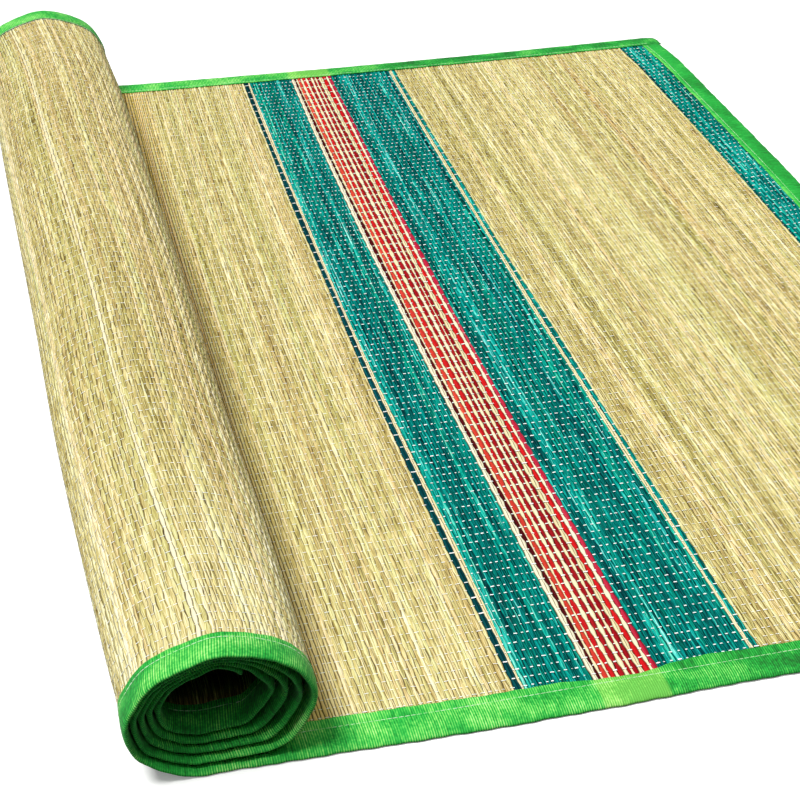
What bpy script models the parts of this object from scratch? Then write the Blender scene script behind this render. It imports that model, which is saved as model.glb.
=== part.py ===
"""A woven grass floor mat, partly rolled up, at real size (Blender 4.5, metres, +Z up).

The mat is one handwoven sheet: split grass stalks run across it (along Y) and cotton
threads run along it. Its right half lies flat on the floor. Its left half is wound into
a loose oval roll that sits on the flat part, with an open core. A folded cloth tape binds
all four edges. The roll was wound a little askew, so each turn sits deeper than the last.

Every piece is built on one path. A place on the mat is (along, across, height): along is
a distance from the right-hand end on the flat part and a number of turns in the roll,
across runs from the near edge to the far edge, and height is measured from the middle of
the sheet towards its upper face, which is the inner face in the roll.
"""

import math

import bmesh
import bpy
import numpy as np

# Driving sizes of the mat
MAT_WIDTH = 0.914
SHEET_THICKNESS = 0.0018
TAPE_THICKNESS = 0.0004
PIECE_GAP = 0.0003
EDGE_TAPE_WIDTH = 0.0230
END_TAPE_WIDTH = 0.0215
TURNS = 4.57

# The roll: how far the sheet creeps towards +Y for each metre that is wound up
WINDING_SKEW = 0.013

# Section of the roll, one row for each sixteenth of a turn, seen from the near end.
# The turn starts at the foot and goes up the left side, over the top and down the right.
# x, z: outer face of the outermost turn, from the roll's middle line and the floor (mm)
# in_x, in_z: how far each further turn lies inside the one before (mm)
SECTION_ROWS = (
    # x, z, in_x, in_z
    (-7.6, 0.0, 0.0, 4.7),
    (-20.8, 1.3, 1.2, 4.6),
    (-36.3, 9.3, 2.9, 3.4),
    (-48.3, 21.0, 4.2, 1.9),
    (-52.6, 40.5, 4.6, 0.0),
    (-48.1, 55.4, 4.4, -1.3),
    (-36.6, 71.8, 3.4, -3.2),
    (-13.9, 82.8, 1.6, -4.2),
    (2.5, 86.0, 0.0, -4.5),
    (24.4, 80.2, -2.4, -4.6),
    (42.3, 69.8, -5.0, -4.2),
    (52.1, 56.3, -6.5, -1.9),
    (56.8, 38.7, -7.3, 0.6),
    (47.9, 14.8, -7.8, 2.6),
    (34.0, 3.1, -5.6, 4.5),
    (12.5, 1.0, -2.0, 4.8),
)

# How that section changes from the near edge to the far edge, one row for each station.
# across: distance from the near edge (mm); middle: the roll's middle line in x (mm)
# width, height: scale of the section; pitch: scale of the space between turns
STATION_ROWS = (
    # across, middle, width, height, pitch
    (0.0, -599.7, 1.000, 1.000, 1.00),
    (24.0, -599.0, 1.034, 0.967, 0.93),
    (60.0, -599.8, 1.054, 0.938, 0.94),
    (132.0, -601.6, 1.063, 0.917, 1.04),
    (270.0, -605.6, 1.068, 0.905, 1.10),
    (420.0, -606.7, 1.071, 0.902, 1.14),
    (650.0, -610.2, 1.067, 0.905, 1.20),
    (880.0, -613.8, 1.051, 0.912, 1.26),
    (914.0, -615.0, 1.037, 0.930, 1.33),
)
MIDDLE_TURN = 2.3

# Unevenness of the flat part as it lies: the stalks bow towards the roll, growing over
# the first length, and the far edge dips towards the near one over the second
STALK_BOW = 0.0060
BOW_RUN = 0.450
FAR_EDGE_DIP = 0.0055
DIP_RUN = 0.600

# Between the tapes the sheet comes down to the floor over the first length, and back up
# over the second part of a turn where the roll leaves the floor
DROP_RUN = 0.018
FOOT_TURNS = 0.060

# Half the height of a bound edge, and how far its fold is rounded
BOUND_HALF_THICKNESS = SHEET_THICKNESS / 2 + PIECE_GAP + TAPE_THICKNESS
FOLD_CORNER = 0.0009

# How far the sheet's own edge lies inside the outline of the bound mat
SHEET_INSET = TAPE_THICKNESS + PIECE_GAP + FOLD_CORNER * 2 / 3

# How finely the solids follow the path, and where even parts of a turn stop
STEPS_PER_TURN = 24
EVEN_TURNS = 3.875
TAIL_STEPS = 14
END_TAPE_STEPS = 5
FLAT_STEPS = 8
ACROSS_STEPS = 7
PATH_SAMPLES = 2400
SPARE_TURNS = 0.3
MM = 0.001

# The origin is under the middle of the whole part
ORIGIN_X = -0.33577
ORIGIN_Y = 0.46350


def curve_through(keys, values, where, period=None):
    """Smooth curve through the values at increasing keys, read at the given places."""
    keys = np.asarray(keys, float)
    values = np.asarray(values, float)
    where = np.asarray(where, float)
    if period is not None:
        keys = np.concatenate((keys[-2:] - period, keys, keys[:3] + period))
        values = np.concatenate((values[-2:], values, values[:3]))
        where = np.mod(where, period)
    slopes = np.gradient(values, keys)
    index = np.clip(np.searchsorted(keys, where, side="right") - 1, 0, len(keys) - 2)
    run = keys[index + 1] - keys[index]
    part = np.clip((where - keys[index]) / run, 0.0, 1.0)
    rise = part * part * (3 - 2 * part)
    leave = part * (1 - part) ** 2 * run * slopes[index]
    arrive = -part * part * (1 - part) * run * slopes[index + 1]
    return values[index] * (1 - rise) + values[index + 1] * rise + leave + arrive


def smooth_step(value, start, end):
    """0 before start, 1 after end, with a smooth rise between."""
    part = np.clip((value - start) / (end - start), 0.0, 1.0)
    return part * part * (3 - 2 * part)


def station(across):
    """The roll's middle line, width, height and pitch at a distance from the near edge."""
    keys = [row[0] * MM for row in STATION_ROWS]
    columns = [[row[i] for row in STATION_ROWS] for i in range(1, 5)]
    middle, width, height, pitch = (curve_through(keys, c, across) for c in columns)
    return middle * MM, width, height, pitch


def outer_face(turns, across):
    """x and z of the outer face of the bound edge, for numbers of turns at one section."""
    middle, width, height, pitch = station(across)
    keys = np.arange(len(SECTION_ROWS)) / len(SECTION_ROWS)
    columns = [[row[i] * MM for row in SECTION_ROWS] for i in range(4)]
    x, z, in_x, in_z = (curve_through(keys, c, turns, period=1.0) for c in columns)
    wound = MIDDLE_TURN + pitch * (turns - MIDDLE_TURN)
    foot = SECTION_ROWS[0][3] * MM * MIDDLE_TURN * (1 - pitch)
    x = middle + width * (x + in_x * wound)
    z = np.maximum(height * (z + in_z * wound - foot), 0.0)
    return x, z


def roll_path(turns, across):
    """Middle of the sheet in the roll: x, z, inward normal and length wound so far."""
    x, z = outer_face(turns, across)
    along_x = np.gradient(x, turns)
    along_z = np.gradient(z, turns)
    size = np.hypot(along_x, along_z)
    normal_x = along_z / size
    normal_z = -along_x / size
    x = x + normal_x * BOUND_HALF_THICKNESS
    z = z + normal_z * BOUND_HALF_THICKNESS
    steps = np.hypot(np.diff(x), np.diff(z))
    wound = np.concatenate(([0.0], np.cumsum(steps)))
    return x, z, normal_x, normal_z, wound


def path_at(across):
    """The roll's path at one distance from the near edge, and where the flat part ends."""
    turns = np.linspace(0.0, TURNS + SPARE_TURNS, PATH_SAMPLES)
    x, z, normal_x, normal_z, wound = roll_path(turns, across)
    flat_end = bow(DIP_RUN, across)[0] - x[0]
    return turns, x, z, normal_x, normal_z, wound, flat_end


def mat_length():
    """Length of the mat from end to end, measured along its near edge."""
    turns, _, _, _, _, wound, flat_end = path_at(0.0)
    return flat_end + np.interp(TURNS, turns, wound)


def sheet_drop(along, across):
    """How far the sheet between the tapes lies below the middle of the bound edges."""
    inner = EDGE_TAPE_WIDTH + PIECE_GAP
    near = smooth_step(across, inner, inner + DROP_RUN)
    far = smooth_step(MAT_WIDTH - across, inner, inner + DROP_RUN)
    end = smooth_step(along, inner, inner + DROP_RUN)
    return (BOUND_HALF_THICKNESS - SHEET_THICKNESS / 2) * near * far * end


def bow(along, across):
    """Shifts in x and y that bow the stalks and the far edge in the plane of the floor."""
    reach = np.clip(along / BOW_RUN, 0.0, 1.0)
    share = np.clip(along / DIP_RUN, 0.0, 1.0)
    shift_x = -STALK_BOW * reach * np.sin(math.pi * across / MAT_WIDTH)
    shift_y = -FAR_EDGE_DIP * np.sin(math.pi * share) * (across / MAT_WIDTH) ** 2
    return shift_x, shift_y


def lie(lengths, across, height):
    """World positions of places on the mat: lengths from its right end, at one distance
    from its near edge and one height above the middle of the sheet."""
    turns, x, z, normal_x, normal_z, wound, flat_end = path_at(across)
    rolled = np.maximum(lengths - flat_end, 0.0)
    turn = np.interp(rolled, wound, turns)
    roll_x = np.interp(turn, turns, x) + np.interp(turn, turns, normal_x) * height
    roll_z = np.interp(turn, turns, z) + np.interp(turn, turns, normal_z) * height
    shift_x, shift_y = bow(lengths, across)
    on_floor = lengths < flat_end
    drop = sheet_drop(lengths, across) * (1.0 - smooth_step(turn, 0.0, FOOT_TURNS))
    px = np.where(on_floor, shift_x - lengths, roll_x)
    py = across + shift_y + WINDING_SKEW * rolled
    pz = np.where(on_floor, BOUND_HALF_THICKNESS + height, roll_z) - drop
    return np.column_stack((px - ORIGIN_X, py - ORIGIN_Y, pz))


def stops_along(start, end, across):
    """Lengths from the right end where a piece has its edges: evenly on the flat part,
    then at equal parts of each turn, so that one turn's facets match the next turn's,
    and last in the steps of the tape on the inner end."""
    turns, _, _, _, _, wound, flat_end = path_at(across)
    flat = np.linspace(start, flat_end, FLAT_STEPS + 1)[:-1]
    even_turns = np.arange(0.0, EVEN_TURNS + 0.001, 1.0 / STEPS_PER_TURN)
    rolled = flat_end + np.interp(even_turns, turns, wound)
    taped = mat_length() - END_TAPE_WIDTH * np.linspace(1.0, 0.0, END_TAPE_STEPS + 1)
    tail = np.linspace(rolled[-1], taped[0], TAIL_STEPS + 1)[1:-1]
    last = [mat_length() - SHEET_INSET, end]
    return np.unique(np.concatenate((flat, rolled, tail, taped[:-1], last)))


def stops_across():
    """Distances from the near edge where the sheet and the end tapes have their edges."""
    reach = EDGE_TAPE_WIDTH + PIECE_GAP
    open_sheet = np.linspace(reach + DROP_RUN, MAT_WIDTH - reach - DROP_RUN, ACROSS_STEPS + 1)
    return np.concatenate(([reach], open_sheet, [MAT_WIDTH - reach]))


def sheet_object(name, rows, thickness, material, collection):
    """A sheet with Solidify: a grid laid on rows of world positions, each row given with
    its place on the mat. The quads are cut along the same diagonal on every piece, also
    where the rows turn back round an edge, so that a tape lies even on the sheet."""
    columns = len(rows[0][1])
    mesh = bpy.data.meshes.new(name)
    shape = bmesh.new()
    bmesh.ops.create_grid(shape, x_segments=columns - 1, y_segments=len(rows) - 1, size=0.5)
    ahead = []
    back = []
    for face in shape.faces:
        row = int((face.calc_center_median().y + 0.5) * (len(rows) - 1))
        side = ahead if rows[row + 1][0] > rows[row][0] else back
        side.append(face)
    for vertex in shape.verts:
        column = round((vertex.co.x + 0.5) * (columns - 1))
        row = round((vertex.co.y + 0.5) * (len(rows) - 1))
        vertex.co = rows[row][1][column]
    bmesh.ops.triangulate(shape, faces=ahead, quad_method="FIXED")
    bmesh.ops.triangulate(shape, faces=back, quad_method="ALTERNATE")
    shape.to_mesh(mesh)
    shape.free()
    mesh.shade_smooth()
    mesh.set_sharp_from_angle(angle=math.radians(35))
    mesh.materials.append(material)
    piece = bpy.data.objects.new(name, mesh)
    collection.objects.link(piece)
    solid = piece.modifiers.new("Thickness", "SOLIDIFY")
    solid.thickness = thickness
    solid.offset = 0.0
    solid.use_even_offset = True
    return piece


def cloth_material(name, colour, roughness):
    """A plain material for one cloth."""
    material = bpy.data.materials.new(name)
    material.use_nodes = True
    surface = material.node_tree.nodes["Principled BSDF"]
    surface.inputs["Base Color"].default_value = (*colour, 1.0)
    surface.inputs["Roughness"].default_value = roughness
    surface.inputs["Metallic"].default_value = 0.0
    return material


def tape_fold(width, steps):
    """Middle line of a tape folded round an edge: pairs of depth from the edge and height."""
    face = BOUND_HALF_THICKNESS - TAPE_THICKNESS / 2
    side = TAPE_THICKNESS / 2
    depths = [width * (steps - i) / steps for i in range(steps)]
    upper = [(depth, face) for depth in depths]
    upper += [(side + FOLD_CORNER, face), (side, face - FOLD_CORNER)]
    return upper + [(depth, -height) for depth, height in reversed(upper)]


def grass_sheet(material, collection):
    """The woven sheet itself: one piece, flat at the right and wound up at the left."""
    end = mat_length() - SHEET_INSET
    drop_stops = END_TAPE_WIDTH + np.array([PIECE_GAP, PIECE_GAP + DROP_RUN])
    rows = []
    for across in [SHEET_INSET, *stops_across(), MAT_WIDTH - SHEET_INSET]:
        stops = stops_along(SHEET_INSET, end, across)
        stops = np.sort(np.concatenate((stops, drop_stops)))
        rows.append((across, lie(stops, across, 0.0)))
    return sheet_object("grass_sheet", rows, SHEET_THICKNESS, material, collection)


def edge_tape(name, far, material, collection):
    """A tape folded over one long edge, from the flat end to the end inside the roll."""
    length = mat_length()
    rows = []
    for depth, height in tape_fold(EDGE_TAPE_WIDTH, 1):
        across = MAT_WIDTH - depth if far else depth
        rows.append((across, lie(stops_along(0.0, length, across), across, height)))
    return sheet_object(name, rows, TAPE_THICKNESS, material, collection)


def end_tape(name, inside_roll, material, collection):
    """A tape folded over one short end, between the two edge tapes."""
    length = mat_length()
    steps = END_TAPE_STEPS if inside_roll else 1
    rows = []
    for depth, height in tape_fold(END_TAPE_WIDTH, steps):
        along = length - depth if inside_roll else depth
        places = [lie(np.array([along]), across, height)[0] for across in stops_across()]
        rows.append((along, places))
    return sheet_object(name, rows, TAPE_THICKNESS, material, collection)


def build():
    """Make every piece of the mat in one collection."""
    for old in list(bpy.data.objects):
        bpy.data.objects.remove(old)
    collection = bpy.data.collections.new("grass_floor_mat")
    bpy.context.scene.collection.children.link(collection)
    grass = cloth_material("split_grass_stalks", (0.62, 0.50, 0.27), 0.62)
    cotton = cloth_material("green_cotton_tape", (0.03, 0.55, 0.08), 0.85)
    grass_sheet(grass, collection)
    edge_tape("tape_near_edge", False, cotton, collection)
    edge_tape("tape_far_edge", True, cotton, collection)
    end_tape("tape_flat_end", False, cotton, collection)
    end_tape("tape_inner_end", True, cotton, collection)


build()
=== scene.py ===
# %% [markdown]
# # A grass floor mat, half unrolled
#
# The real mat is handwoven. Split grass stalks are the weft, and they run across the mat.
# White cotton threads are the warp, and they run along it. A ribbed green cotton tape is
# folded over every edge and sewn through. The right half lies flat, and the left half is
# wound into a loose oval roll.
#
# The cells below first work out how the mat lies. Then each piece is made as if the mat
# were flat, where the rules of a weave are simple, and is laid on the mat's real path last.

import math

import bmesh
import bpy
import numpy as np
from mathutils import Matrix, Vector


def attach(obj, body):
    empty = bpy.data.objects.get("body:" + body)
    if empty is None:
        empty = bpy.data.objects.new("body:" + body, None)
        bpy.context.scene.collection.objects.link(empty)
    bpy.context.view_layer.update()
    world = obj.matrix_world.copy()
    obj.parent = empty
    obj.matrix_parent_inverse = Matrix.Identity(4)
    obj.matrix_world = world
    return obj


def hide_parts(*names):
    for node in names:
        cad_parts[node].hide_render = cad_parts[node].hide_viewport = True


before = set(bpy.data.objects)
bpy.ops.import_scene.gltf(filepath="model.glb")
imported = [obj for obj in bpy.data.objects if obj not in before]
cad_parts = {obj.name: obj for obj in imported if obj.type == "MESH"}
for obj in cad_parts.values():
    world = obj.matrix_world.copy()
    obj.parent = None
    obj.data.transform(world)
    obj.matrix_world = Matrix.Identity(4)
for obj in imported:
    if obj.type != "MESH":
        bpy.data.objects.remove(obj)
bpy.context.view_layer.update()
MM = 0.001


def put(name, data):
    """A new object in the scene, at the origin."""
    thing = bpy.data.objects.new(name, data)
    bpy.context.scene.collection.objects.link(thing)
    return thing


# %% [markdown]
# ## The camera
#
# The camera comes first, because each later choice is judged through it. It stands low in
# front of the roll's near end and looks down along the roll. Its place, its turns and its
# focal length were worked out from the mat's edges, whose real sizes are known. A camera
# looks down its own Z axis, so three plain turns are enough to aim it.

# %% Camera at the photograph's viewing angle
IMAGE_SIDE = 800
FOCAL_PIXELS = 1749.1
CAMERA_PLACE = (-0.3450, -1.1239, 0.6797)
LOOK_DOWN = math.radians(33.640)
TURN_RIGHT = math.radians(14.721)
TILT = math.radians(0.691)

camera_data = bpy.data.cameras.new("camera")
camera_data.sensor_width = 36.0
camera_data.lens = FOCAL_PIXELS * camera_data.sensor_width / IMAGE_SIDE
camera = put("camera", camera_data)
aim = Matrix.Rotation(-TURN_RIGHT, 3, "Z")
aim = aim @ Matrix.Rotation(math.pi / 2 - LOOK_DOWN, 3, "X")
aim = aim @ Matrix.Rotation(TILT, 3, "Z")
camera.rotation_euler = aim.to_euler()
camera.location = CAMERA_PLACE
bpy.context.scene.camera = camera
print("the lens is", round(camera_data.lens, 2), "mm long")

# %% [markdown]
# ## How the mat lies
#
# Every point of the mat has three plain measures: its length from the right end, its
# distance across from the near edge, and its height over the middle of the sheet. The path
# turns them into a place in the room. The near end of the roll was measured at sixteen
# places round one turn, and other stations across say how the roll widens and leans. The
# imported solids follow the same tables, so a piece laid by them sits where the solid is.
# Cloth could also be dropped and rolled by a simulation, but a path that is worked out
# keeps every stalk where the real one lies.

# %% Sizes of the mat and of its roll
MAT_WIDTH = 0.914
TURNS = 4.57
WINDING_SKEW = 0.013
MIDDLE_TURN = 2.3
STALK_BOW = 0.0060
BOW_RUN = 0.450
FAR_EDGE_DIP = 0.0055
DIP_RUN = 0.600
DROP_RUN = 0.018
FOOT_TURNS = 0.060
EDGE_TAPE_WIDTH = 0.0230
END_TAPE_WIDTH = 0.0215
PIECE_GAP = 0.0003
SHEET_HALF = 0.0009
BOUND_HALF = 0.0016
ORIGIN_X = -0.33577
ORIGIN_Y = 0.46350

# Sixteen places round one turn, in mm: where the outermost turn is, and how far inwards
# each further turn lies.
SECTION_ROWS = (
    # x, z, in_x, in_z
    (-7.6, 0.0, 0.0, 4.7),
    (-20.8, 1.3, 1.2, 4.6),
    (-36.3, 9.3, 2.9, 3.4),
    (-48.3, 21.0, 4.2, 1.9),
    (-52.6, 40.5, 4.6, 0.0),
    (-48.1, 55.4, 4.4, -1.3),
    (-36.6, 71.8, 3.4, -3.2),
    (-13.9, 82.8, 1.6, -4.2),
    (2.5, 86.0, 0.0, -4.5),
    (24.4, 80.2, -2.4, -4.6),
    (42.3, 69.8, -5.0, -4.2),
    (52.1, 56.3, -6.5, -1.9),
    (56.8, 38.7, -7.3, 0.6),
    (47.9, 14.8, -7.8, 2.6),
    (34.0, 3.1, -5.6, 4.5),
    (12.5, 1.0, -2.0, 4.8),
)
# Stations across the mat: the roll's middle in mm, and its width, height and pitch as
# shares of the section above.
STATION_ROWS = (
    # across, middle, width, height, pitch
    (0.0, -599.7, 1.000, 1.000, 1.00),
    (24.0, -599.0, 1.034, 0.967, 0.93),
    (60.0, -599.8, 1.054, 0.938, 0.94),
    (132.0, -601.6, 1.063, 0.917, 1.04),
    (270.0, -605.6, 1.068, 0.905, 1.10),
    (420.0, -606.7, 1.071, 0.902, 1.14),
    (650.0, -610.2, 1.067, 0.905, 1.20),
    (880.0, -613.8, 1.051, 0.912, 1.26),
    (914.0, -615.0, 1.037, 0.930, 1.33),
)


# %% One smooth turn of the roll
def curve_through(keys, values, where, period=None):
    """A smooth curve through the given values, closed on itself where it has a period."""
    keys = np.asarray(keys, float)
    values = np.asarray(values, float)
    where = np.asarray(where, float)
    if period is not None:
        keys = np.concatenate((keys[-2:] - period, keys, keys[:3] + period))
        values = np.concatenate((values[-2:], values, values[:3]))
        where = np.mod(where, period)
    slopes = np.gradient(values, keys)
    index = np.clip(np.searchsorted(keys, where, side="right") - 1, 0, len(keys) - 2)
    run = keys[index + 1] - keys[index]
    part = np.clip((where - keys[index]) / run, 0.0, 1.0)
    rise = part * part * (3 - 2 * part)
    leave = part * (1 - part) ** 2 * run * slopes[index]
    arrive = -part * part * (1 - part) * run * slopes[index + 1]
    return values[index] * (1 - rise) + values[index + 1] * rise + leave + arrive


def smooth_step(value, start, end):
    """Zero before start, one after end, and smooth between them."""
    part = np.clip((value - start) / (end - start), 0.0, 1.0)
    return part * part * (3 - 2 * part)


def outer_face(turns, across):
    """The mat's outer face in the roll, as x and z, at one station across."""
    keys = [row[0] * MM for row in STATION_ROWS]
    middle = curve_through(keys, [row[1] * MM for row in STATION_ROWS], across)
    width, height, pitch = (
        curve_through(keys, [row[i] for row in STATION_ROWS], across) for i in (2, 3, 4)
    )
    keys = np.arange(len(SECTION_ROWS)) / len(SECTION_ROWS)
    columns = [[row[i] * MM for row in SECTION_ROWS] for i in range(4)]
    x, z, in_x, in_z = (curve_through(keys, c, turns, period=1.0) for c in columns)
    wound = MIDDLE_TURN + pitch * (turns - MIDDLE_TURN)
    foot = SECTION_ROWS[0][3] * MM * MIDDLE_TURN * (1 - pitch)
    x = middle + width * (x + in_x * wound)
    return x, np.maximum(height * (z + in_z * wound - foot), 0.0)


def bow(along, across):
    """How far the flat part's stalks and its far edge stray from straight lines."""
    reach = np.clip(along / BOW_RUN, 0.0, 1.0)
    share = np.clip(along / DIP_RUN, 0.0, 1.0)
    shift_x = -STALK_BOW * reach * np.sin(math.pi * across / MAT_WIDTH)
    shift_y = -FAR_EDGE_DIP * np.sin(math.pi * share) * (across / MAT_WIDTH) ** 2
    return shift_x, shift_y


# %% [markdown]
# The exact path is slow to ask for each of a million points. So it is worked out once, at
# close stations and lengths, and each point then takes its place between four of those.

# %% A table of the whole path
PATH_SAMPLES = 2400
SPARE_TURNS = 0.3
TABLE_STATIONS = 93
TABLE_STEP = 0.0004


def station_path(across):
    """The middle of the sheet at one station: turns, x, z, its two normals, length."""
    turns = np.linspace(0.0, TURNS + SPARE_TURNS, PATH_SAMPLES)
    x, z = outer_face(turns, across)
    along_x = np.gradient(x, turns)
    along_z = np.gradient(z, turns)
    size = np.hypot(along_x, along_z)
    normal_x = along_z / size
    normal_z = -along_x / size
    x = x + normal_x * BOUND_HALF
    z = z + normal_z * BOUND_HALF
    wound = np.concatenate(([0.0], np.cumsum(np.hypot(np.diff(x), np.diff(z)))))
    return turns, x, z, normal_x, normal_z, wound


def path_table():
    """For each station and length: x, z, the two normals, the turn and the wound length."""
    lengths = np.arange(0.0, MAT_LENGTH + 0.004, TABLE_STEP)
    rows = []
    for across in np.linspace(0.0, MAT_WIDTH, TABLE_STATIONS):
        turns, x, z, normal_x, normal_z, wound = station_path(across)
        rolled = lengths - (bow(DIP_RUN, across)[0] - x[0])
        turn = np.interp(rolled, wound, turns)
        flat = rolled < 0.0
        place_x = np.where(flat, bow(lengths, across)[0] - lengths, np.interp(turn, turns, x))
        place_z = np.where(flat, BOUND_HALF, np.interp(turn, turns, z))
        lean_x = np.where(flat, 0.0, np.interp(turn, turns, normal_x))
        lean_z = np.where(flat, 1.0, np.interp(turn, turns, normal_z))
        wound_length = np.maximum(rolled, 0.0)
        rows.append(np.stack((place_x, place_z, lean_x, lean_z, turn, wound_length), 1))
    return np.array(rows)


near_turns, near_x, _, _, _, near_wound = station_path(0.0)
MAT_LENGTH = bow(DIP_RUN, 0.0)[0] - near_x[0] + np.interp(TURNS, near_turns, near_wound)
PATH = path_table()
print("the mat is", round(float(MAT_LENGTH), 4), "m long, and the table is", PATH.shape)


# %% [markdown]
# Cloth gives a little everywhere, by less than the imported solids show. So the laying also
# rounds the flat end's corners, pulls that end in where it isn't straight, lets the edges
# hang down to the floor, leans the roll's near foot inwards, and lowers its far end.

# %% Laying a piece
CORNER_RADIUS = 0.013
FAR_CORNER_PULL = 0.0050
FAR_CORNER_REACH = 0.075
NEAR_HALF_PULL = 0.0035
NEAR_HALF = (0.44, 0.62)
PULL_RUN = 0.16
EDGE_DROOP = 0.0010
DROOP_DEPTH = 0.0070
DROOP_TURNS = (0.05, 0.15)
FOOT_LEAN = 0.0024
FOOT_RUN = (0.46, 0.58)
FOOT_REACH = 0.20
FOOT_HEIGHT = 0.080
FAR_END_SAG = 0.02
FAR_END_NARROWING = 0.05
FAR_END_START = 0.76
FAR_END_RUN = (0.60, 0.66)


def round_corners(along, across):
    """The two corners of the flat end are turned on a small radius, and so is the tape."""
    far = across > MAT_WIDTH / 2
    depth = np.where(far, MAT_WIDTH - across, across)
    in_along = np.maximum(CORNER_RADIUS - along, 0.0)
    in_across = np.maximum(CORNER_RADIUS - depth, 0.0)
    size = np.hypot(in_along, in_across)
    pull = np.maximum(in_along, in_across) / np.where(size > 0.0, size, 1.0)
    inside = (in_along > 0.0) & (in_across > 0.0)
    along = np.where(inside, CORNER_RADIUS - in_along * pull, along)
    depth = np.where(inside, CORNER_RADIUS - in_across * pull, depth)
    return along, np.where(far, MAT_WIDTH - depth, depth)


def end_pull(along, across):
    """The flat end isn't quite straight: its far corner and its near half lie further in."""
    pull = FAR_CORNER_PULL * smooth_step(across, MAT_WIDTH - FAR_CORNER_REACH, MAT_WIDTH)
    pull = pull + NEAR_HALF_PULL * (1.0 - smooth_step(across, *NEAR_HALF))
    return pull * (1.0 - smooth_step(along, 0.0, PULL_RUN))


def edge_droop(along, across, turn):
    """On the floor the mat's edges hang down to it instead of ending at half their height."""
    depth = np.minimum(np.minimum(across, MAT_WIDTH - across), along)
    droop = EDGE_DROOP * np.clip(1.0 - depth / DROOP_DEPTH, 0.0, 1.0)
    return droop * (1.0 - smooth_step(turn, *DROOP_TURNS))


def lay(points):
    """Places in the room for points given as length along, distance across and height."""
    along, across = round_corners(points[:, 0], points[:, 1])
    height = points[:, 2]
    station = np.clip(across / MAT_WIDTH, 0.0, 1.0) * (TABLE_STATIONS - 1)
    sample = np.clip(along / TABLE_STEP, 0.0, PATH.shape[1] - 1.001)
    row = np.minimum(station.astype(int), TABLE_STATIONS - 2)
    column = sample.astype(int)
    side = (station - row)[:, None]
    ahead = (sample - column)[:, None]
    low = PATH[row, column] * (1 - ahead) + PATH[row, column + 1] * ahead
    high = PATH[row + 1, column] * (1 - ahead) + PATH[row + 1, column + 1] * ahead
    x, z, lean_x, lean_z, turn, wound = (low * (1 - side) + high * side).T
    reach = EDGE_TAPE_WIDTH + PIECE_GAP
    sink = smooth_step(across, reach, reach + DROP_RUN)
    sink = sink * smooth_step(MAT_WIDTH - across, reach, reach + DROP_RUN)
    sink = sink * smooth_step(along, reach, reach + DROP_RUN)
    sink = sink * (1.0 - smooth_step(turn, 0.0, FOOT_TURNS)) * (BOUND_HALF - SHEET_HALF)
    sink = sink + edge_droop(along, across, turn)
    # The roll's near end leans a little, and its far end is lower and narrower on the right.
    far_end = smooth_step(across, FAR_END_START, MAT_WIDTH) * smooth_step(along, *FAR_END_RUN)
    middle = STATION_ROWS[-1][1] * MM
    narrowing = FAR_END_NARROWING * far_end * np.maximum(x - middle, 0.0)
    foot = FOOT_LEAN * smooth_step(along, *FOOT_RUN)
    foot = foot * (1.0 - smooth_step(across, 0.0, FOOT_REACH))
    foot = foot * (1.0 - np.clip(z / FOOT_HEIGHT, 0.0, 1.0))
    shift_y = bow(along, across)[1] + foot
    overshoot = np.minimum(along, 0.0)
    place_x = x + lean_x * height - overshoot - end_pull(along, across) - ORIGIN_X - narrowing
    place_y = across + shift_y + WINDING_SKEW * wound - ORIGIN_Y
    place_z = np.maximum(z + lean_z * height - sink, 0.0) * (1.0 - FAR_END_SAG * far_end)
    return np.column_stack((place_x, place_y, place_z))


# %% [markdown]
# ## Small helpers for meshes
#
# Each piece of cloth here is a closed shell: an upper grid, a lower grid, and a narrow wall
# between their borders. The seen side of the weave needs a fine grid and the hidden side
# doesn't, so the wall is stitched between two borders with unlike numbers of points.

# %% A shell from two grids
def border(rows, columns, first):
    """Numbers of a grid's border points, once round, and how far round each one is."""
    numbers = first + np.arange(rows * columns).reshape(rows, columns)
    sides = (numbers[0, :-1], numbers[:-1, -1], numbers[-1, :0:-1], numbers[:0:-1, 0])
    keys = [side + np.arange(len(run)) / len(run) for side, run in enumerate(sides)]
    ring = np.concatenate((*sides, numbers[0, :1]))
    return ring, np.concatenate((*keys, [4.0]))


def wall(upper, lower):
    """Triangles between two borders, taking the next point of whichever lags behind."""
    (ring_up, keys_up), (ring_low, keys_low) = upper, lower
    faces = []
    i = 0
    j = 0
    while i < len(ring_up) - 1 or j < len(ring_low) - 1:
        step_up = j == len(ring_low) - 1
        if not step_up and i < len(ring_up) - 1:
            step_up = keys_up[i + 1] <= keys_low[j + 1]
        if step_up:
            faces.append((ring_up[i + 1], ring_up[i], ring_low[j]))
            i += 1
        else:
            faces.append((ring_low[j], ring_low[j + 1], ring_up[i]))
            j += 1
    return np.array(faces)


def grid_faces(rows, columns, first, upward):
    """The quads of a grid whose rows run along the mat and whose columns run across it."""
    numbers = first + np.arange(rows * columns).reshape(rows, columns)
    a, b = numbers[:-1, :-1].ravel(), numbers[:-1, 1:].ravel()
    c, d = numbers[1:, 1:].ravel(), numbers[1:, :-1].ravel()
    return np.column_stack((a, b, c, d) if upward else (d, c, b, a))


def mesh_piece(name, places, faces, attributes, materials, finish=None, smooth=None):
    """An object at the origin with its place in its mesh, and with named attributes."""
    mesh = bpy.data.meshes.new(name)
    mesh.from_pydata(places, [], faces)
    for label, values in attributes.items():
        layer = mesh.attributes.new(label, "FLOAT", "POINT")
        layer.data.foreach_set("value", np.asarray(values, np.float32))
    for material in materials:
        mesh.materials.append(material)
    if finish is not None:
        mesh.polygons.foreach_set("material_index", np.asarray(finish, np.int32))
    shaded = np.ones(len(faces), bool) if smooth is None else smooth
    mesh.polygons.foreach_set("use_smooth", shaded)
    mesh.update()
    return put(name, mesh)


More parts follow.
